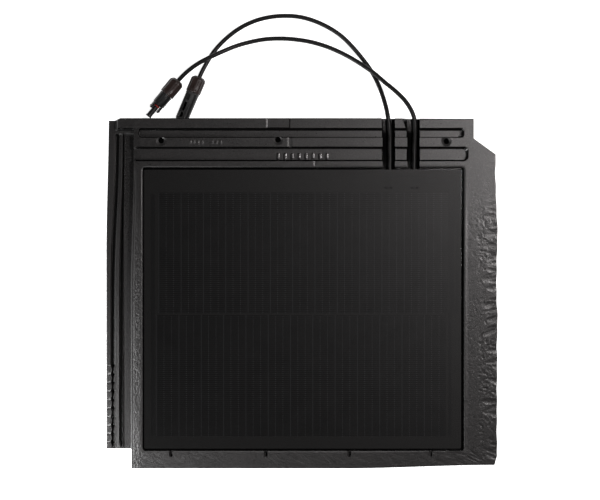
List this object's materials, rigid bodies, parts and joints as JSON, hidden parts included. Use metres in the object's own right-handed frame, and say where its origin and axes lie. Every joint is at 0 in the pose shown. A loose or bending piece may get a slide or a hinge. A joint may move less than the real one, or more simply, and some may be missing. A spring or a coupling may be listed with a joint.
{
  "type": "solar roof tile",
  "caption": "Interlocking flat clay roof tile with a glass solar module set in its face and cables ending in plug and socket connectors.",
  "frame": {"origin": "middle of the tile's outline on the surface it lies on, without the cables and connectors", "axes": "+X to the right seen from the weather side, +Y to the head, +Z out of the weather face"},
  "size_m": [0.52, 0.6084, 0.037],
  "materials": {
    "clay": "matt engobe, fine grain",
    "glass": "smooth solar glass",
    "encapsulant": "clear film over black",
    "cell": "dark blue-black silicon with fine fingers",
    "backsheet": "satin film",
    "ribbon": "tinned copper",
    "adhesive": "cured silicone",
    "box_plastic": "moulded, fine texture",
    "cable_jacket": "satin jacket",
    "nut_plastic": "moulded, dark brown-black",
    "housing_plastic": "moulded, satin black",
    "seal": "soft rubber",
    "red_seal": "soft red rubber",
    "contact_metal": "tinned copper",
    "diode": "moulded epoxy"
  },
  "bodies": {
    "root": {"tile_body": "clay", "front_glass": "glass", "front_encapsulant": "encapsulant", "cell_upper_01": "cell", "cell_upper_02": "cell", "cell_upper_03": "cell", "cell_upper_04": "cell", "cell_upper_05": "cell", "cell_upper_06": "cell", "cell_upper_07": "cell", "cell_upper_08": "cell", "cell_upper_09": "cell", "cell_upper_10": "cell", "cell_upper_11": "cell", "cell_upper_12": "cell", "cell_upper_13": "cell", "cell_lower_01": "cell", "cell_lower_02": "cell", "cell_lower_03": "cell", "cell_lower_04": "cell", "cell_lower_05": "cell", "cell_lower_06": "cell", "cell_lower_07": "cell", "cell_lower_08": "cell", "cell_lower_09": "cell", "cell_lower_10": "cell", "cell_lower_11": "cell", "cell_lower_12": "cell", "cell_lower_13": "cell", "rear_encapsulant": "encapsulant", "backsheet": "backsheet", "string_link_ribbon": "ribbon", "positive_ribbon": "ribbon", "negative_ribbon": "ribbon", "adhesive_bead_1": "adhesive", "adhesive_bead_2": "adhesive", "adhesive_bead_3": "adhesive", "junction_box_base": "box_plastic", "junction_box_lid": "box_plastic", "lid_gasket": "seal", "bypass_diode": "diode", "terminal_left": "contact_metal", "terminal_right": "contact_metal", "gland_left": "box_plastic", "gland_right": "box_plastic", "cable_left": "cable_jacket", "cable_right": "cable_jacket", "probe_gland_seal": "seal", "probe_housing": "housing_plastic", "probe_contact": "contact_metal", "probe_o_ring": "red_seal", "shell_gland_seal": "seal", "shell_housing": "housing_plastic", "shell_contact": "contact_metal"},
    "probe_clamp": {"probe_clamp_basket": "housing_plastic"},
    "probe_nut": {"probe_cap_nut": "nut_plastic"},
    "shell_clamp": {"shell_clamp_basket": "housing_plastic"},
    "shell_nut": {"shell_cap_nut": "nut_plastic"},
    "latch_left": {"latch_arm_left": "housing_plastic"},
    "latch_right": {"latch_arm_right": "housing_plastic"}
  },
  "joints": [
    {"name": "probe_basket_slide", "type": "slide", "parent": "root", "child": "probe_clamp", "axis": [0.6428, 0.766, 0], "range_m": [0, 0.00301]},
    {"name": "probe_nut_turn", "type": "hinge", "parent": "probe_clamp", "child": "probe_nut", "pos_m": [-0.1668, 0.2849, 0.00975], "axis": [0.6428, 0.766, 0], "range_deg": [0, 720]},
    {"name": "shell_basket_slide", "type": "slide", "parent": "root", "child": "shell_clamp", "axis": [0.3907, 0.9205, 0], "range_m": [0, 0.00301]},
    {"name": "shell_nut_turn", "type": "hinge", "parent": "shell_clamp", "child": "shell_nut", "pos_m": [-0.1381, 0.2893, 0.00975], "axis": [0.3907, 0.9205, 0], "range_deg": [0, 720]},
    {"name": "latch_left_flex", "type": "hinge", "parent": "root", "child": "latch_left", "pos_m": [-0.18504, 0.25386, 0.00696], "axis": [-0.3237, 0.2717, -0.9063], "range_deg": [0, 4.5], "stiffness_Nm_per_rad": 0.2},
    {"name": "latch_right_flex", "type": "hinge", "parent": "root", "child": "latch_right", "pos_m": [-0.1942, 0.26155, 0.01254], "axis": [0.3237, -0.2717, 0.9063], "range_deg": [0, 4.5], "stiffness_Nm_per_rad": 0.2}
  ],
  "couplings": [
    {"joint": "probe_basket_slide", "follows": "probe_nut_turn", "m_per_rad": 0.00023873},
    {"joint": "shell_basket_slide", "follows": "shell_nut_turn", "m_per_rad": 0.00023873}
  ]
}
